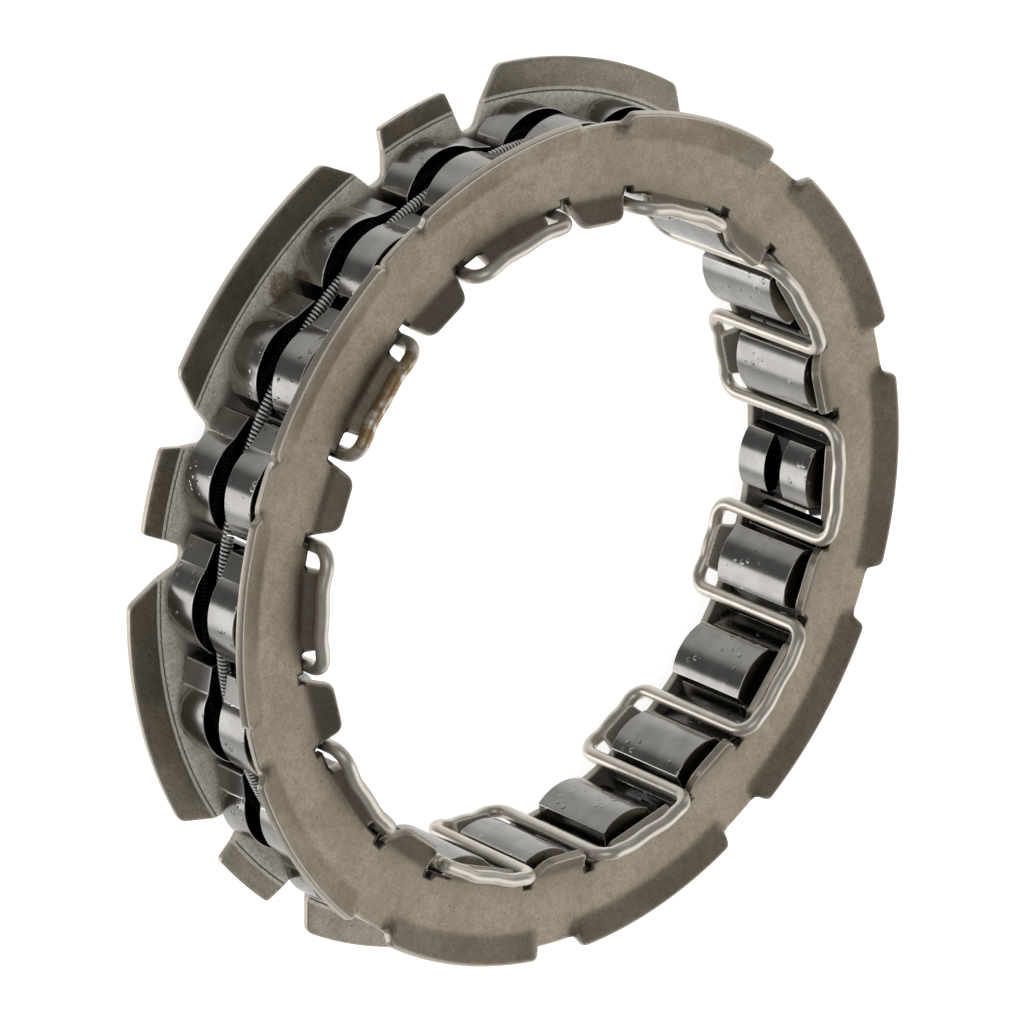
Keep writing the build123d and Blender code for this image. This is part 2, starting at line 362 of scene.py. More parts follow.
def bend_flange(flat, depth, place, heights, weight, crease, parts, lead):
    """Bends a flange at the outer edge towards the outside face, where weight is 1."""
    radius = np.hypot(flat[:, 0], flat[:, 1])
    start = crease - lead
    chosen = (radius > start) & (weight > 0)
    advance, rise, slope = bend_path(radius[chosen] - start, parts)
    new_radius = start + advance + depth[chosen] * np.sin(slope)
    new_height = rise - depth[chosen] * np.cos(slope)
    share = (new_radius / radius[chosen] - 1) * weight[chosen]
    place[chosen] += flat[chosen] * share[:, None]
    heights[chosen] += (new_height + depth[chosen]) * weight[chosen]


def nearest_offset(angles, centres):
    """How far each of the given angles is from the nearest centre."""
    offsets = (angles[:, None] - np.array(centres)[None, :] + 180) % 360 - 180
    return np.abs(offsets).min(axis=1)


def rows(*parts):
    """Places of rows of points, in parts given by their start, end and step."""
    return np.concatenate([np.arange(*part) for part in parts])


def grid_points(radii, spacing=0.75):
    """Points on circles about the axis, evenly spaced."""
    rings = []
    for index, radius in enumerate(radii):
        count = int(2 * math.pi * radius / spacing)
        angles = (np.arange(count) + 0.5 * (index % 2)) * 2 * math.pi / count
        rings.append(np.stack([radius * np.cos(angles), radius * np.sin(angles)], axis=1))
    return np.concatenate(rings)


def tab_points(centres, start, length, half_width):
    """Rows of points across straight tabs, close together at the bend."""
    bend_depth = 1.0
    found = []
    for centre in centres:
        axis, side = tab_axes(centre)
        for inward in rows((0, bend_depth, 0.12), (bend_depth, length, 0.3)):
            for across in np.linspace(-half_width, half_width, 11):
                found.append(axis * (start - inward) + side * across)
    return np.array(found)


def short_tab_points(centres, half_angle):
    """Rows of points across the short tabs."""
    half_width = short_tab_half_width(half_angle)
    return tab_points(centres, plate_inner_radius + 0.2, short_tab_length + 0.1, half_width)


# The outlines of the two plates

free_centres = [wave * wave_angle for wave in range(wave_count)]
front_run_centres = [(wave + 0.5) * wave_angle for wave in range(wave_count)]


def tab_place(centre, along, across):
    """Flat place from a tab's own axes."""
    return polar(along, centre) + around(centre) * across


def front_inner_outline():
    """Clockwise: a curled free tab between two slots, then a short tab, ten times."""
    corners = []
    radius = plate_inner_radius
    slot_radius = radius + relief_slot_depth
    free_half = math.degrees(free_tab_half_width / radius)
    slot_end = free_half + math.degrees(relief_slot_width / radius)
    mouth_round = 0.2
    slot_round = 0.15
    tab_round = 0.85
    for centre in free_centres[::-1]:
        end = radius - free_tab_length
        corners += [
            corner(polar(radius, centre + slot_end), mouth_round),
            corner(polar(slot_radius, centre + slot_end), slot_round),
            corner(polar(slot_radius, centre + free_half), slot_round),
            corner(tab_place(centre, end, free_tab_end_half_width), tab_round),
            corner(tab_place(centre, end, -free_tab_end_half_width), tab_round),
            corner(polar(slot_radius, centre - free_half), slot_round),
            corner(polar(slot_radius, centre - slot_end), slot_round),
            corner(polar(radius, centre - slot_end), mouth_round, arc=True),
        ]
        corners += short_tab_corners(centre - wave_angle / 2, front_short_tab_half_angle)
    return corners


def short_tab_half_width(half_angle):
    """Half the width that a short tab has where it leaves the plate."""
    return plate_inner_radius * math.sin(math.radians(half_angle))


def short_tab_corners(centre, half_angle):
    """Clockwise corners of a short tab, from the plate's inner edge and back to it."""
    end_half_width = short_tab_half_width(half_angle) - short_tab_taper
    end = plate_inner_radius - short_tab_length
    root_round = 0.3
    tab_round = 0.35
    return [
        corner(polar(plate_inner_radius, centre + half_angle), root_round),
        corner(tab_place(centre, end, end_half_width), tab_round),
        corner(tab_place(centre, end, -end_half_width), tab_round),
        corner(polar(plate_inner_radius, centre - half_angle), root_round, arc=True),
    ]


def front_outer_outline():
    """Anticlockwise: a flared flange and a flat pad, ten times."""
    rim = front_crease_radius + front_flange_length
    root_half = front_flange_half_angle + front_flange_root_turn
    rim_half = front_flange_half_angle - front_flange_rim_turn
    root_round = 0.2
    rim_round = 0.45
    corners = []
    for centre in front_run_centres:
        corners += [
            corner(polar(front_pad_radius, centre - root_half), root_round),
            corner(polar(rim, centre - rim_half), rim_round, arc=True),
            corner(polar(rim, centre + rim_half), rim_round),
            corner(polar(front_pad_radius, centre + root_half), root_round, arc=True),
        ]
    return corners


def rear_inner_outline():
    """Clockwise: the rear short tabs, ten times."""
    corners = []
    for centre in free_centres[::-1]:
        corners += short_tab_corners(centre, rear_short_tab_half_angle)
    return corners


def rear_flange_corners(centre, half_angle, rim, rim_round, turns):
    """Anticlockwise corners of a rear flange, from the notch before it to the notch after it."""
    root_half = half_angle + turns[0]
    rim_half = half_angle - turns[1]
    crease_round = 0.3
    notch_round = 0.6
    return [
        corner(polar(rear_root_radius, centre - root_half), notch_round),
        corner(polar(rear_crease_radius, centre - half_angle), crease_round),
        corner(polar(rim, centre - rim_half), rim_round, arc=True),
        corner(polar(rim, centre + rim_half), rim_round),
        corner(polar(rear_crease_radius, centre + half_angle), crease_round),
        corner(polar(rear_root_radius, centre + root_half), notch_round),
    ]


def rear_outer_outline():
    """Anticlockwise: a short flange, a notch, a long flange and a notch, six times."""
    short_rim = rear_crease_radius + rear_short_length
    long_rim = rear_crease_radius + rear_long_length
    corners = []
    for pair in range(rear_pair_count):
        centre = rear_first_short_angle + pair * 360 / rear_pair_count
        corners += rear_flange_corners(centre, rear_short_half_angle, short_rim, 0.4, rear_short_turns)
        centre += 180 / rear_pair_count
        corners += rear_flange_corners(centre, rear_long_half_angle, long_rim, 0.6, rear_long_turns)
    # The loop starts at the first rim, not in the notch before it
    return corners[2:] + corners[:2]


def front_bend(flat, depth):
    """Bends the front plate's tabs and flanges and puts it in its place."""
    place = flat.copy()
    heights = -depth
    free_parts = [(free_tab_bend_length, free_tab_slope), (free_tab_length, 0.0)]
    bend_tabs(flat, depth, place, heights, free_centres, free_tab_half_width + free_tab_side,
              free_parts, free_tab_bend_lead, margin=0.1)
    bend_short_tabs(flat, depth, place, heights, front_run_centres, front_short_tab_half_angle)
    angles = np.degrees(np.arctan2(flat[:, 1], flat[:, 0]))
    low, high = (front_flange_half_angle + turn for turn in front_flange_blend)
    weight = 1 - smooth_step(nearest_offset(angles, front_run_centres), low, high)
    flange_parts, lead = sharp_bend(front_flange_slope, front_flange_bend_radius, front_flange_length)
    bend_flange(flat, depth, place, heights, weight, front_crease_radius, flange_parts, lead)
    return np.column_stack([place, heights + plate_height])


def rear_bend(flat, depth):
    """Bends the rear plate's tabs and flanges and puts it in its place."""
    place = flat.copy()
    heights = -depth
    bend_short_tabs(flat, depth, place, heights, free_centres, rear_short_tab_half_angle)
    flange_parts, lead = sharp_bend(rear_flange_slope, rear_flange_bend_radius, rear_long_length)
    bend_flange(flat, depth, place, heights, np.ones(len(flat)), rear_crease_radius, flange_parts, lead)
    radius = np.hypot(flat[:, 0], flat[:, 1])
    inner_face = depth > plate_thickness - 0.01
    score = np.exp(-((radius - rear_crease_radius + score_offset) / score_breadth) ** 2) * inner_face
    heights += score_height * score
    return np.column_stack([place, -(heights + plate_height)])


def front_side_plate():
    """The front plate with its bends rounded and its cut edges marked for wear and a painted highlight."""
    radii = rows((plate_row_start, 34.7, 0.7), (34.9, 36.3, 0.2), (36.6, 38.3, 0.45))
    extra = np.concatenate([
        grid_points(radii),
        tab_points(free_centres, plate_inner_radius + free_tab_bend_lead, free_tab_length + 0.2,
                   free_tab_half_width),
        short_tab_points(front_run_centres, front_short_tab_half_angle)])
    return bent_sheet("front_plate_body", front_outer_outline(), front_inner_outline(), extra, front_bend)


def rear_side_plate():
    """The rear plate with its scored crease and its cut edges marked for wear and a painted highlight."""
    crease = rear_crease_radius
    radii = rows((plate_row_start, crease - 0.7, 0.7), (crease - 0.4, crease + 0.2, 0.06),
                 (crease + 0.5, 40.3, 0.6))
    extra = np.concatenate([grid_points(radii), short_tab_points(free_centres, rear_short_tab_half_angle)])
    return bent_sheet("rear_plate_body", rear_outer_outline(), rear_inner_outline(), extra, rear_bend)


# Wire pieces as tubes along a line of points

def tube(name, line, radius, sides, closed=False, end_round=0.0, first_normal=(0, 0, 1)):
    """Round tube along points, with its section carried along without twist."""
    count = len(line)
    points = []
    normal = Vector(first_normal)
    for index in range(count):
        before = line[index - 1] if closed or index > 0 else line[0]
        after = line[(index + 1) % count] if closed or index < count - 1 else line[-1]
        tangent = (after - before).normalized()
        normal = (normal - tangent * normal.dot(tangent)).normalized()
        side = tangent.cross(normal)
        size = radius - end_round if index in (0, count - 1) else radius
        for step in range(sides):
            turn = 2 * math.pi * step / sides
            points.append(line[index] + (normal * math.cos(turn) + side * math.sin(turn)) * size)
    faces = []
    for here, after in ring_pairs(count)[:count if closed else count - 1]:
        for step, beside in ring_pairs(sides):
            faces.append((here * sides + step, here * sides + beside,
                          after * sides + beside, after * sides + step))
    if not closed:
        faces.append(tuple(range(sides))[::-1])
        faces.append(tuple((count - 1) * sides + step for step in range(sides)))
    return new_piece(name, points, faces)


def run_line(start_angle, end_angle, height, spacing=0.4):
    """Points of a run between two legs, bowed out a little and slightly wavy from its forming."""
    middle = (start_angle + end_angle) / 2
    half = (end_angle - start_angle) / 2 - math.degrees(wire_bend_radius / wire_line_radius)
    steps = int(math.radians(2 * half) * wire_line_radius / spacing)
    points = []
    for step in range(1, steps):
        share = 2 * step / steps - 1
        bow = wire_run_bow * (1 - share * share)
        sag = wire_run_sag * math.cos(math.pi * share * 1.5) * (1 - share ** 4)
        uneven = wire_run_unevenness * noise.noise(Vector((middle * 0.37, share * 1.3, height)))
        points.append(polar(wire_line_radius + bow - sag + uneven, middle + share * half, height))
    return points


def bend_line(leg_angle, run_side, end_side, steps=7):
    """Points of the quarter bend from a leg to the run beside it."""
    along = around(leg_angle) * run_side
    centre = polar(wire_line_radius, leg_angle, end_side * (wire_height - wire_bend_radius))
    centre += along * wire_bend_radius
    up = Vector((0, 0, end_side))
    points = []
    for step in range(steps + 1):
        turn = math.radians(90 * step / steps)
        across = along * (wire_bend_radius * math.cos(turn))
        points.append(centre - across + up * (wire_bend_radius * math.sin(turn)))
    return points


def wire_line():
    """Centre line of the zigzag wire, from its free end round to its lapped end."""
    first_leg = (cut_run_wave + 0.5) * wave_angle - front_run_half_angle
    leg = first_leg + 2 * front_run_half_angle
    points = [polar(wire_line_radius, first_leg, wire_height) - around(first_leg) * (cut_end_overrun - along)
              for along in (0.0, wire_end_chamfer, 0.8, 1.6)]
    points += run_line(first_leg, leg, wire_height)
    end_side = 1
    for _ in range(2 * wave_count - 1):
        half_angle = rear_run_half_angle if end_side == 1 else front_run_half_angle
        points += bend_line(leg, -1, end_side)[::-1]
        points += [polar(wire_line_radius, leg, end_side * height) for height in wire_leg_heights]
        points += bend_line(leg, 1, -end_side)
        points += run_line(leg, leg + 2 * half_angle, -end_side * wire_height)
        leg += 2 * half_angle
        end_side = -end_side
    points += bend_line(leg, -1, end_side)[::-1]
    top = wire_height - 2 * wire_radius - wire_lap_gap
    last_heights = (*wire_leg_heights[::-1], top - wire_end_chamfer, top)
    points += [polar(wire_line_radius, leg, height) for height in last_heights]
    return points


def retaining_wire():
    """The zigzag wire with its bends round and its cut ends chamfered."""
    return tube("zigzag_wire", wire_line(), wire_radius, 20, end_round=wire_end_chamfer)


def garter_spring():
    """The coils of the garter spring, a helix closed on itself."""
    coil_radius = spring_radius - spring_play - spring_wire_radius
    count = spring_coil_count * spring_coil_steps
    line = []
    for index in range(count):
        turn = 2 * math.pi * index / spring_coil_steps
        radius = spring_line_radius + coil_radius * math.cos(turn)
        line.append(polar(radius, 360 * index / count, coil_radius * math.sin(turn)))
    piece = tube("garter_coils", line, spring_wire_radius, 6, closed=True, first_normal=(1, 0, 0))
    places = np.array([vertex.co for vertex in piece.data.vertices]) / MM
    middle = np.hypot(np.hypot(places[:, 0], places[:, 1]) - spring_line_radius, places[:, 2])
    add_attribute(piece, "outside", (middle - coil_radius) / spring_wire_radius)
    return piece


# The sprags

outer_cam_radius = 5.09
outer_cam_offset = 0.76
outer_peak = outer_race_radius + 0.21
inner_cam_radius = 4.8
inner_cam_offset = -0.4
inner_peak = inner_race_radius - 0.05
waist_radius = (outer_peak + inner_peak) / 2 - 0.7
groove_ridge = spring_line_radius - spring_radius - 0.2
inner_groove_floor = inner_race_radius + 1.1
inner_grooved_sprag = 4
crease_step = 0.07
groove_floor_low = 33.05
groove_ridge_offset = 0.6
groove_floor_slope = 12
groove_tool_reach = 8
chamfer_width = 0.14
# From the outer cam's middle to the toe and to the crease before the heel
toe_reach = 4.25
crease_reach = 3.3
# From the crease to the heel, the heel's depth, and how far the toe's wall stands out
heel_drop = Vector((-1.05, -2.2))
heel_depth = 0.8
toe_bulge = 0.42


def outer_cam(offset):
    """Point of the outer cam at an offset along the ring."""
    rise = math.sqrt(outer_cam_radius ** 2 - (offset - outer_cam_offset) ** 2)
    return Vector((outer_peak - outer_cam_radius + rise, offset))


def inner_cam(offset):
    """Point of the inner cam at an offset along the ring."""
    rise = math.sqrt(inner_cam_radius ** 2 - (offset - inner_cam_offset) ** 2)
    return Vector((inner_peak + inner_cam_radius - rise, offset))


def sprag_lower():
    """Waist and inner cam of the sprag's section, from the toe side round to the heel side."""
    waist = Vector((waist_radius - 1.2, -waist_half_breadth))
    heel_root = Vector((waist_radius - 0.5, -waist_half_breadth - 1.35))
    steps = 18
    arc = [inner_cam(inner_cam_offset + 3.0 - 5.4 * step / steps) for step in range(steps + 1)]
    return arc + [waist, heel_root]


def sprag_head():
    """Head of the sprag's section, from the heel's underside round to the toe's underside."""
    toe = outer_cam(outer_cam_offset + toe_reach)
    crease = outer_cam(outer_cam_offset - crease_reach)
    heel = crease + heel_drop
    heel_under = Vector((heel.x - heel_depth, heel.y))
    ledge = Vector((crease.x - crease_step, crease.y - 0.06))
    steps = 26
    arc = [outer_cam(crease.y + (toe.y - crease.y) * step / steps) for step in range(steps + 1)]
    toe_wall = Vector((waist_radius + 0.3, toe.y + toe_bulge))
    toe_under = Vector((waist_radius - 0.5, toe.y - 0.1))
    toe_root = Vector((waist_radius - 1.15, waist_half_breadth))
    return [heel_under, heel, ledge] + arc + [toe_wall, toe_under, toe_root]


def make_solid(name, section, half):
    """Prism over a section in millimetres, as an object."""
    count = len(section)
    points = [(*place, height) for height in (-half, half) for place in section]
    faces = [tuple(range(count))[::-1], tuple(range(count, 2 * count))]
    faces += [(here, after, count + after, count + here) for here, after in ring_pairs(count)]
    return new_piece(name, points, faces)


def cut_groove(piece, section):
    """Cuts a groove of the given section out of the middle of the piece."""
    tool = make_solid("groove_tool", section, groove_half_width)
    modifier = piece.modifiers.new("cut", "BOOLEAN")
    modifier.operation = "DIFFERENCE"
    modifier.solver = "EXACT"
    modifier.object = tool
    apply_modifiers(piece)
    bpy.data.objects.remove(tool)


def apply_modifiers(piece):
    """Puts what the modifiers make into the piece's own mesh."""
    graph = bpy.context.evaluated_depsgraph_get()
    result = bpy.data.meshes.new_from_object(piece.evaluated_get(graph))
    piece.modifiers.clear()
    old = piece.data
    piece.data = result
    bpy.data.meshes.remove(old)


def sprag_shape(name, grooved):
    """One sprag on the X axis with its grooves cut and its edges chamfered."""
    piece = make_solid(name, sprag_head() + sprag_lower(), sprag_width / 2)
    reach = groove_tool_reach
    low = groove_ridge - reach * math.tan(math.radians(groove_floor_slope))
    high = groove_ridge + reach
    left = groove_ridge_offset - reach
    right = groove_ridge_offset + reach
    block = [(groove_ridge, groove_ridge_offset), (low, right), (high, right), (high, left), (low, left)]
    cut_groove(piece, block)
    if grooved:
        low = inner_groove_floor - reach
        block = [(low, -reach), (inner_groove_floor, -reach), (inner_groove_floor, reach), (low, reach)]
        cut_groove(piece, block)
    # The bevel puts its faces in the second of two empty material slots, which marks the chamfers
    for _ in range(2):
        piece.data.materials.append(None)
    bevel = piece.modifiers.new("edges", "BEVEL")
    bevel.width = chamfer_width * MM
    bevel.segments = 2
    bevel.limit_method = "ANGLE"
    bevel.angle_limit = math.radians(22)
    bevel.material = 1
    apply_modifiers(piece)
    add_attribute(piece, "chamfer", [face.material_index for face in piece.data.polygons], "FACE")
    piece.data.shade_smooth()
    weighted = piece.modifiers.new("normals", "WEIGHTED_NORMAL")
    weighted.weight = 100
    apply_modifiers(piece)
    return piece


# How far some sprags have slid along the clutch's axis in their free play, by number
sprag_slides = {2: -0.12, 5: 0.38, 7: 0.1, 11: 0.12, 12: 0.34, 15: -0.15, 18: 0.12}


def place_sprag(shape, name, number):
    """Copy of a sprag's shape at its place in the ring, which remembers its own axes."""
    mesh = shape.data.copy()
    own = mesh.attributes.new("own_place", "FLOAT_VECTOR", "POINT")
    places = np.empty(len(mesh.vertices) * 3, dtype=np.float32)
    mesh.vertices.foreach_get("co", places)
    own.data.foreach_set("vector", places / MM)
    mesh.transform(Matrix.Rotation(math.radians((number - 1) * sprag_angle), 4, "Z"))
    mesh.transform(Matrix.Translation((0, 0, sprag_slides.get(number, 0.0) * MM)))
    return add_object(name, mesh)


# Materials

class NodeTree:
    """Nodes of a material or of the world."""

    def __init__(self, owner):
        owner.use_nodes = True
        self.nodes = owner.node_tree.nodes
        self.links = owner.node_tree.links

    def fill(self, node, inputs):
        """Puts a plain value or another node's output into each of a node's inputs."""
        for key, value in inputs.items():
            if isinstance(value, bpy.types.NodeSocket):
                self.links.new(value, node.inputs[key])
            else:
                node.inputs[key].default_value = value

    def add(self, kind, inputs, **settings):
        """New node with its settings and inputs."""
        node = self.nodes.new(kind)
        for name, value in settings.items():
            setattr(node, name, value)
        self.fill(node, inputs)
        return node

    def source(self, kind, output):
        """Output of a node that has no inputs."""
        return self.nodes.new(kind).outputs[output]

    def attribute(self, name, output="Fac"):
        """Value that a mesh carries."""
        return self.add("ShaderNodeAttribute", {}, attribute_name=name).outputs[output]

    def noise(self, place, scale, detail=4.0, roughness=0.55, distortion=0.0):
        """Noise from 0 to 1."""
        inputs = {"Vector": place, "Scale": scale, "Detail": detail,
                  "Roughness": roughness, "Distortion": distortion}
        return self.add("ShaderNodeTexNoise", inputs).outputs["Fac"]

    def ramp(self, value, low, high, at_low=0.0, at_high=1.0):
        """Smooth ramp of a value between two limits, level beyond them."""
        inputs = {"Value": value, "From Min": low, "From Max": high, "To Min": at_low, "To Max": at_high}
        return self.add("ShaderNodeMapRange", inputs, interpolation_type="SMOOTHSTEP").outputs["Result"]

    def fade(self, length, start, end):
        """Smooth ramp along a length in metres, with its limits in millimetres."""
        return self.ramp(length, start * MM, end * MM)

    def spread(self, share, low, high):
        """Maps 0 to 1 onto low to high in a straight line."""
        inputs = {"Value": share, "To Min": low, "To Max": high}
        return self.add("ShaderNodeMapRange", inputs).outputs["Result"]

    def calculate(self, operation, first, second=0.0):
        """Two numbers put together."""
        return self.add("ShaderNodeMath", {0: first, 1: second}, operation=operation).outputs["Value"]

    def product(self, first, *others):
        """All of the values multiplied."""
        for other in others:
            first = self.calculate("MULTIPLY", first, other)
        return first

    def largest(self, first, *others):
        """The largest of the values."""
        for other in others:
            first = self.calculate("MAXIMUM", first, other)
        return first

    def mix(self, share, first, second):
        """Mix of two colours by a share."""
        first, second = ((*value, 1.0) if isinstance(value, tuple) else value for value in (first, second))
        return self.add("ShaderNodeMix", {"Factor": share, 6: first, 7: second}, data_type="RGBA").outputs[2]

    def tint(self, body, colour, *shares):
        """A colour with another mixed in by the product of the shares."""
        return self.mix(self.product(*shares), body, colour)

    def bump(self, height, strength, distance, normal=None):
        """Normal bent by a height, with the distance in millimetres."""
        inputs = {"Height": height, "Strength": strength, "Distance": distance * MM}
        if normal is not None:
            inputs["Normal"] = normal
        return self.add("ShaderNodeBump", inputs).outputs["Normal"]

    def vector(self, operation, output, first, second=None):
        """Result of one or two vectors put together."""
        inputs = {0: first} if second is None else {0: first, 1: second}
        return self.add("ShaderNodeVectorMath", inputs, operation=operation).outputs[output]

    def spot(self, place, centre, reach):
        """1 at a point of the object and 0 from a distance on, with both in millimetres."""
        distance = self.vector("DISTANCE", "Value", place, [c * MM for c in centre])
        return self.ramp(distance, 0.0, reach * MM, 1.0, 0.0)

    def ring_radius(self, place):
        """Distance from the clutch's axis, in metres."""
        return self.vector("LENGTH", "Value", self.vector("MULTIPLY", "Vector", place, (1, 1, 0)))

    def band(self, length, middle, half, blur):
        """1 within half of the middle and 0 beyond the blur, with all three in millimetres."""
        above = self.fade(length, middle - half - blur, middle - half)
        below = self.fade(length, middle + half + blur, middle + half)
        return self.product(above, below)


def new_material(name):
    """Material with its nodes, its shader and its object coordinates."""
    material = bpy.data.materials.new(name)
    tree = NodeTree(material)
    return material, tree, tree.nodes["Principled BSDF"], tree.source("ShaderNodeTexCoord", "Object")


# Paler colour of the cut edges: partly real wear, partly a painted highlight where rounded edges catch the
# light
worn_edge_and_highlight_colour = (0.80, 0.73, 0.63)


def front_plate_colour(tree, radius, clouds):
    """Warm grey, darker towards the tabs."""
    body = tree.mix(clouds, (0.43, 0.365, 0.28), (0.51, 0.44, 0.345))
    return tree.tint(body, (0.24, 0.205, 0.16), tree.fade(radius, 33.5, 30.5), 0.4)


def rear_plate_colour(tree, radius, clouds, beyond):
    """Inner flat written pale as painted light against the shade it stands in, painted shade under the
    sprags, and warm grey on the flanges beyond the crease.
    """
    # Painted light: the flat is written much paler than it renders, making up for the shade between the
    # sprags
    painted_light_flat = tree.mix(clouds, (0.86, 0.80, 0.70), (0.95, 0.90, 0.81))
    flange = tree.mix(clouds, (0.46, 0.42, 0.34), (0.58, 0.53, 0.43))
    # Painted shade under the sprags, darkest towards the inner edge
    painted_light_flat = tree.tint(painted_light_flat, (0.06, 0.055, 0.045), tree.fade(radius, 36.2, 34.5), 0.85)
    return tree.mix(beyond, painted_light_flat, flange)


def speckle_plate(tree, place, body, grain, pits):
    """Fine speckle, mottle and dark pits over a plate's colour."""
    mottle = tree.ramp(tree.noise(place, 1100, 5.0, 0.75), 0.42, 0.66)
    body = tree.tint(body, (0.24, 0.20, 0.145), tree.ramp(grain, 0.38, 0.68), 0.45)
    body = tree.tint(body, (0.24, 0.195, 0.135), mottle, 0.32)
    return tree.tint(body, (0.12, 0.10, 0.075), pits, 0.55)


def crease_shade_and_highlight(tree, radius, body):
    """Painted shade along the scored crease and a painted highlight just outside it."""
    # Painted shade in the scored crease, and a painted highlight on the bend just outside it
    crease_shade = tree.band(radius, rear_crease_radius - 0.1, 0.05, 0.06)
    bright = tree.band(radius, rear_crease_radius + 0.12, 0.03, 0.07)
    body = tree.tint(body, (0.05, 0.045, 0.035), crease_shade, 0.85)
    return tree.tint(body, (0.7, 0.64, 0.54), bright, 0.6)


def rust_stain(tree, place):
    """Scratchy patch of rust on the rear plate, between two sprags."""
    uneven = tree.noise(place, 650, 3.0, 0.6, 2.0)
    patch = tree.ramp(tree.product(tree.spot(place, polar(35.8, 190.2, -4.9), 2.3), uneven), 0.12, 0.32)
    return tree.product(patch, tree.ramp(tree.noise(place, 1500, 6.0, 0.9, 6.0), 0.40, 0.52))


def plate_steel(name, rear):
    """Tumbled sheet steel with fine speckle, paler on its cut edges, partly for wear and partly as a painted
    highlight.
    """
    material, tree, shader, place = new_material(name)
    radius = tree.ring_radius(place)
    grain = tree.noise(place, 4600, 4.0, 0.7)
    clouds = tree.ramp(tree.noise(place, 260), 0.35, 0.65)
    pits = tree.ramp(tree.noise(place, 2300, 2.0), 0.69, 0.76)
    edge = tree.attribute("wear_and_highlight")
    streak = tree.spread(tree.noise(place, 900, 5.0, 0.7, 1.5), 0.5, 1.15)
    # Pale cut edges: partly real wear, partly a painted highlight
    worn_and_highlight = tree.product(tree.ramp(edge, 0.35, 0.85), streak)
    rough = tree.spread(grain, 0.36, 0.52)
    if rear:
        beyond = tree.fade(radius, 37.9, 38.05)
        # The flat is made less metallic so that it takes up diffuse light, as part of its painted light
        metallic = tree.spread(beyond, 0.2, 1.0)
        body = rear_plate_colour(tree, radius, clouds, beyond)
        body = crease_shade_and_highlight(tree, radius, speckle_plate(tree, place, body, grain, pits))
        stain = rust_stain(tree, place)
        rough = tree.calculate("ADD", rough, tree.product(stain, 0.3))
        body = tree.tint(tree.tint(body, worn_edge_and_highlight_colour, worn_and_highlight), (0.16, 0.075, 0.02), stain, 0.9)
    else:
        metallic = 1.0
        body = speckle_plate(tree, place, front_plate_colour(tree, radius, clouds), grain, pits)
        # Painted shade in the relief slots, which also takes the pale edge colour away there
        slot_painted_shade = tree.band(radius, slot_shade_radius, 0.35, 0.15)
        body = tree.tint(body, (0.04, 0.035, 0.03), slot_painted_shade, tree.ramp(edge, 0.2, 0.6), 0.85)
        body = tree.tint(body, worn_edge_and_highlight_colour, worn_and_highlight, tree.spread(slot_painted_shade, 1.0, 0.0))
    normal = tree.bump(grain, 0.7, 0.025)
    normal = tree.bump(tree.calculate("SUBTRACT", 1.0, pits), 0.4, 0.02, normal)
    tree.fill(shader, {"Base Color": body, "Roughness": rough, "Metallic": metallic, "Normal": normal})
    return material


def sprag_colour(tree, own_place, cloud, heel, grooved):
    """Grey steel with a duller heel, painted shade on the flanks and in the grooves, and a painted highlight
    on the chamfers.
    """
    radius, offset, along_axis = own_place
    body = tree.mix(tree.ramp(cloud, 0.35, 0.7), (0.35, 0.34, 0.32), (0.43, 0.42, 0.395))
    body = tree.tint(body, (0.30, 0.29, 0.275), heel)
    # Painted shade on the flanks, in the dark gaps between the sprags
    flank_shade = (tree.ramp(radius, 30.0, 30.8), tree.ramp(radius, 35.0, 34.2))
    body = tree.tint(body, (0.06, 0.058, 0.055), *flank_shade, 0.85)
    # Painted highlight along the chamfers
    body = tree.tint(body, (0.80, 0.79, 0.76), tree.attribute("chamfer"))
    # Painted shade inside the spring groove, and in the inner groove of the grooved sprag
    across = tree.calculate("ABSOLUTE", along_axis)
    within = tree.ramp(across, groove_half_width + 0.03, groove_half_width + 0.005)
    sunk = tree.ramp(radius, groove_floor_low - 0.1, groove_floor_low)
    if grooved:
        sunk = tree.largest(sunk, tree.ramp(radius, 30.1, 30.05))
    return tree.tint(body, (0.02, 0.02, 0.02), within, sunk)


def sprag_steel(name, grooved):
    """Ground and tumbled bearing steel with a few oil drops, by each sprag's own axes in millimetres."""
    material, tree, shader, place = new_material(name)
    own = tree.add("ShaderNodeSeparateXYZ", {"Vector": tree.attribute("own_place", "Vector")})
    own_place = [own.outputs[axis] for axis in "XYZ"]
    cloud = tree.noise(place, 420)
    heel = tree.product(tree.ramp(own_place[1], -2.5, -2.7), tree.ramp(own_place[0], 34.2, 34.6))
    rough = tree.calculate("ADD", tree.spread(cloud, 0.12, 0.22), tree.product(heel, 0.15))
    drops = tree.add("ShaderNodeTexVoronoi", {"Vector": place, "Scale": 1100}).outputs["Distance"]
    rare = tree.ramp(tree.noise(place, 330, 1.0), 0.50, 0.56)
    normal = tree.bump(tree.noise(place, 3600, 2.0), 0.22, 0.012)
    normal = tree.bump(tree.product(tree.ramp(drops, 0.32, 0.14), rare), 0.7, 0.05, normal)
    body = sprag_colour(tree, own_place, cloud, heel, grooved)
    tree.fill(shader, {"Base Color": body, "Roughness": rough, "Metallic": 1.0, "Normal": normal})
    return material


def wire_tarnish(tree, place, radius, body):
    """Brown tarnish on one run, with red rust on its inner side, and the share of the tarnish."""
    near = tree.spot(place, polar(wire_line_radius, 198, wire_height), 6.5)
    patches = tree.noise(place, 520, 5.0, 0.65, 1.0)
    tarnish = tree.ramp(tree.product(tree.ramp(near, 0.0, 0.25), patches), 0.40, 0.53)
    body = tree.tint(body, (0.42, 0.26, 0.11), tarnish, 0.9)
    inner_side = tree.band(radius, wire_line_radius - 0.42, 0.08, 0.1)
    shares = (inner_side, tree.ramp(near, 0.1, 0.4), tree.ramp(patches, 0.25, 0.42))
    return tree.tint(body, (0.42, 0.09, 0.02), *shares), tarnish


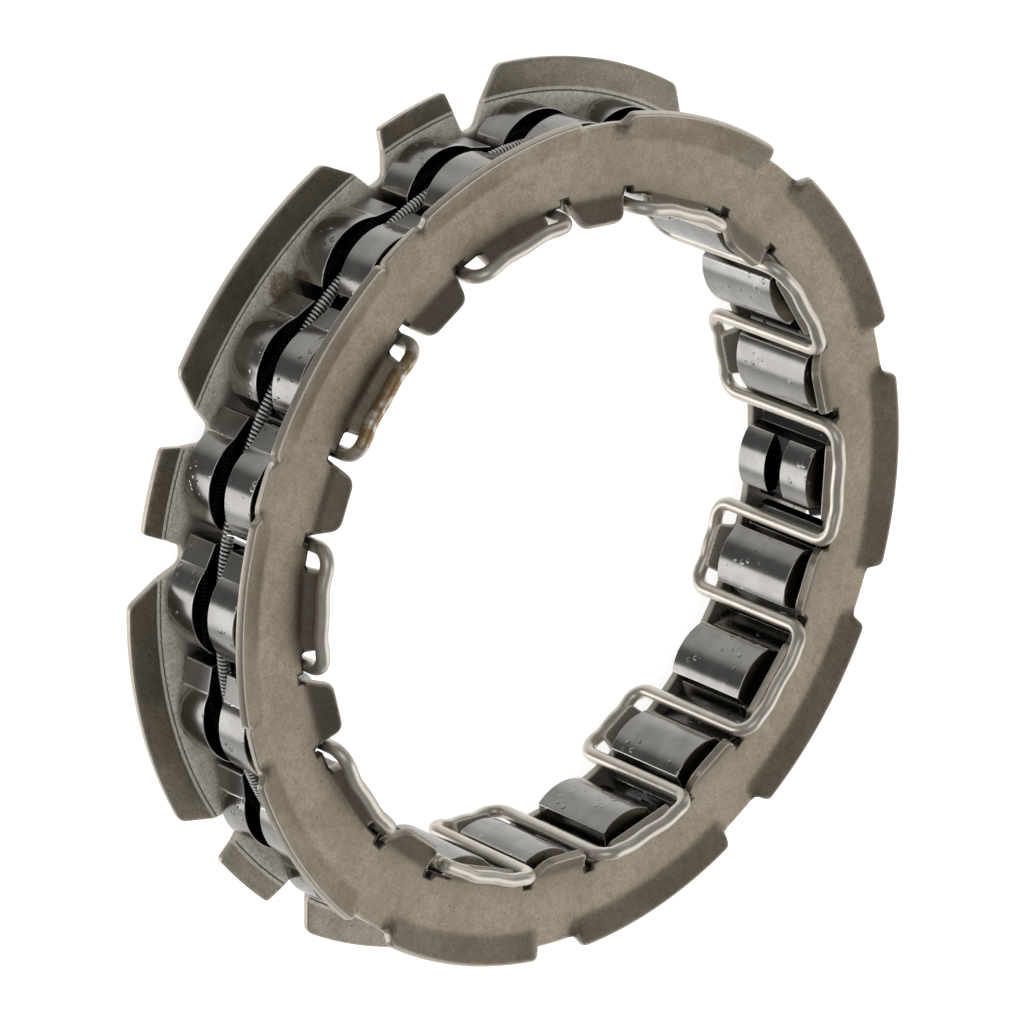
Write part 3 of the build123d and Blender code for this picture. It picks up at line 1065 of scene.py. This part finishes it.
def drawn_wire_steel(name):
    """Bright drawn wire with a fine haze and one tarnished run, with painted shade on the outer side of its
    legs between the sprags.
    """
    material, tree, shader, place = new_material(name)
    radius = tree.ring_radius(place)
    cloud = tree.noise(place, 500)
    body = tree.mix(tree.ramp(cloud, 0.3, 0.7), (0.80, 0.735, 0.635), (0.94, 0.88, 0.78))
    body, tarnish = wire_tarnish(tree, place, radius, body)
    rough = tree.calculate("ADD", tree.spread(cloud, 0.28, 0.44), tree.product(tarnish, 0.1))
    split = tree.add("ShaderNodeSeparateXYZ", {"Vector": place})
    # Painted shade on the legs' outer side, where they stand in the dark gaps between the sprags
    legs = tree.fade(tree.calculate("ABSOLUTE", split.outputs["Z"]), 5.6, 4.8)
    shaded_outer_side = tree.fade(radius, wire_line_radius + 0.05, wire_line_radius + 0.3)
    body = tree.tint(body, (0.04, 0.038, 0.033), legs, shaded_outer_side, 0.92)
    normal = tree.bump(tree.noise(place, 3800, 2.0), 0.15, 0.01)
    tree.fill(shader, {"Base Color": body, "Roughness": rough, "Metallic": 0.9, "Normal": normal})
    return material


def spring_steel(name):
    """Bright spring wire with painted shade between its coils."""
    material, tree, shader, place = new_material(name)
    bright = tree.mix(tree.noise(place, 300, 3.0), (0.80, 0.79, 0.76), (0.96, 0.95, 0.92))
    # Painted shade on the inner sides of the coils, between them
    outside = tree.ramp(tree.attribute("outside"), -0.2, 0.55)
    body = tree.mix(outside, (0.015, 0.015, 0.015), bright)
    tree.fill(shader, {"Base Color": body, "Metallic": 0.8, "Roughness": 0.36})
    return material


def dress(piece, material, body, slot, *nodes):
    """Gives a piece its material and body and hides the nodes that it stands for; the slot is not used."""
    piece.data.materials.clear()
    piece.data.materials.append(material)
    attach(piece, body)
    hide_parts(*nodes)


# Camera and light

camera_place = Vector((-367.0, -188.6, 395.8)) * MM
camera_aim = Vector((-1.48, -0.40, -1.55)) * MM
camera_roll = -112.38
camera_lens = 231.1

# Strengths of the studio's parts, where 1 is white
backdrop_level = 0.9
top_level = 0.6
left_level = 1.6
right_level = 1.08
behind_level = 0.8
room_level = 0.14
diffuse_level = 0.8
floor_level = 0.8


def camera_axes():
    """The camera's right, up and forward directions."""
    forward = (camera_aim - camera_place).normalized()
    upright = (Vector((0, 0, 1)) - forward * forward.z).normalized()
    up = Matrix.Rotation(math.radians(camera_roll), 3, forward) @ upright
    return forward.cross(up), up, forward


def add_camera():
    """Long lens where the photograph was taken from."""
    right, up, forward = camera_axes()
    data = bpy.data.cameras.new("photo_camera")
    data.lens = camera_lens
    data.sensor_width = 36
    data.clip_end = 10
    camera = add_object("photo_camera", data)
    turn = Matrix((right, up, -forward)).transposed().to_4x4()
    camera.matrix_world = Matrix.Translation(camera_place) @ turn
    bpy.context.scene.camera = camera


def add_world():
    """Studio of soft bands for the metal to reflect, level for diffuse light and white to the camera.

    Its parts stand round the scene as seen from where the photograph was taken.
    """
    world = bpy.data.worlds.new("studio")
    bpy.context.scene.world = world
    tree = NodeTree(world)
    direction = tree.source("ShaderNodeTexCoord", "Generated")
    right, up, forward = camera_axes()
    to_right, to_top, away, low_right = (
        tree.vector("DOT_PRODUCT", "Value", direction, axis)
        for axis in (right, up, forward, right * 0.92 - up * 0.38 + forward * 0.08))
    backdrop = tree.product(tree.ramp(away, -0.1, 0.62), backdrop_level)
    top = tree.product(tree.ramp(to_top, 0.38, 0.72), tree.ramp(away, -0.5, 0.1), top_level)
    left = tree.product(tree.ramp(to_right, -0.78, -0.93), tree.ramp(to_top, 0.13, 0.05),
                        tree.ramp(to_top, -0.6, -0.3), left_level)
    right_side = tree.product(tree.ramp(low_right, 0.86, 0.97), tree.ramp(to_top, 0.02, -0.15), right_level)
    behind = tree.product(tree.ramp(away, -0.90, -0.98), behind_level)
    path = tree.nodes.new("ShaderNodeLightPath")
    diffuse = tree.product(path.outputs["Is Diffuse Ray"], diffuse_level)
    level = tree.largest(backdrop, top, left, right_side, behind, room_level, diffuse)
    colour = tree.mix(path.outputs["Is Camera Ray"], level, (1.0, 1.0, 1.0))
    tree.fill(tree.nodes["Background"], {"Color": colour, "Strength": 1.0})


def add_floor():
    """Plain white floor under the wire's runs, with a faint shadow, not seen from below or in the metal."""
    half = 0.6
    height = -(overall_width / 2 + 0.05) * MM
    mesh = bpy.data.meshes.new("floor")
    sides = ((-half, -half), (half, -half), (half, half), (-half, half))
    mesh.from_pydata([(*side, height) for side in sides], [], [(0, 1, 2, 3)])
    floor = add_object("floor", mesh)
    floor.visible_glossy = False
    material, tree, shader, _ = new_material("white_floor")
    glow = tree.product(tree.source("ShaderNodeLightPath", "Is Camera Ray"), floor_level)
    tree.fill(shader, {"Base Color": (0.9, 0.9, 0.9, 1), "Roughness": 0.9,
                       "Emission Color": (1, 1, 1, 1), "Emission Strength": glow})
    clear = tree.source("ShaderNodeBsdfTransparent", "BSDF")
    below = tree.source("ShaderNodeNewGeometry", "Backfacing")
    under = tree.add("ShaderNodeMixShader", {"Fac": below, 1: shader.outputs["BSDF"], 2: clear})
    tree.fill(tree.nodes["Material Output"], {"Surface": under.outputs["Shader"]})
    floor.data.materials.append(material)


def build():
    """All the pieces of the clutch, dressed and on their bodies."""
    plate = plate_steel("tumbled_plate_steel", rear=False)
    rear = plate_steel("tumbled_plate_steel_rear", rear=True)
    dress(front_side_plate(), plate, "cage", "plate_steel", "front_side_plate")
    dress(rear_side_plate(), rear, "cage", "plate_steel", "rear_side_plate")
    dress(retaining_wire(), drawn_wire_steel("drawn_wire"), "cage", "wire_steel", "retaining_wire")
    dress(garter_spring(), spring_steel("spring_wire"), "cage", "spring_steel", "garter_spring")
    steel = sprag_steel("sprag_steel", grooved=False)
    grooved_steel = sprag_steel("grooved_sprag_steel", grooved=True)
    plain = sprag_shape("plain_sprag", False)
    grooved = sprag_shape("grooved_sprag", True)
    for number in range(1, sprag_count + 1):
        node = f"sprag_{number:02d}"
        shape, finish = (grooved, grooved_steel) if number == inner_grooved_sprag else (plain, steel)
        dress(place_sprag(shape, node + "_body", number), finish, node, "sprag_steel", node)
    for shape in (plain, grooved):
        bpy.data.objects.remove(shape)


build()
add_camera()
add_world()
add_floor()
bpy.context.scene.view_settings.view_transform = "Standard"
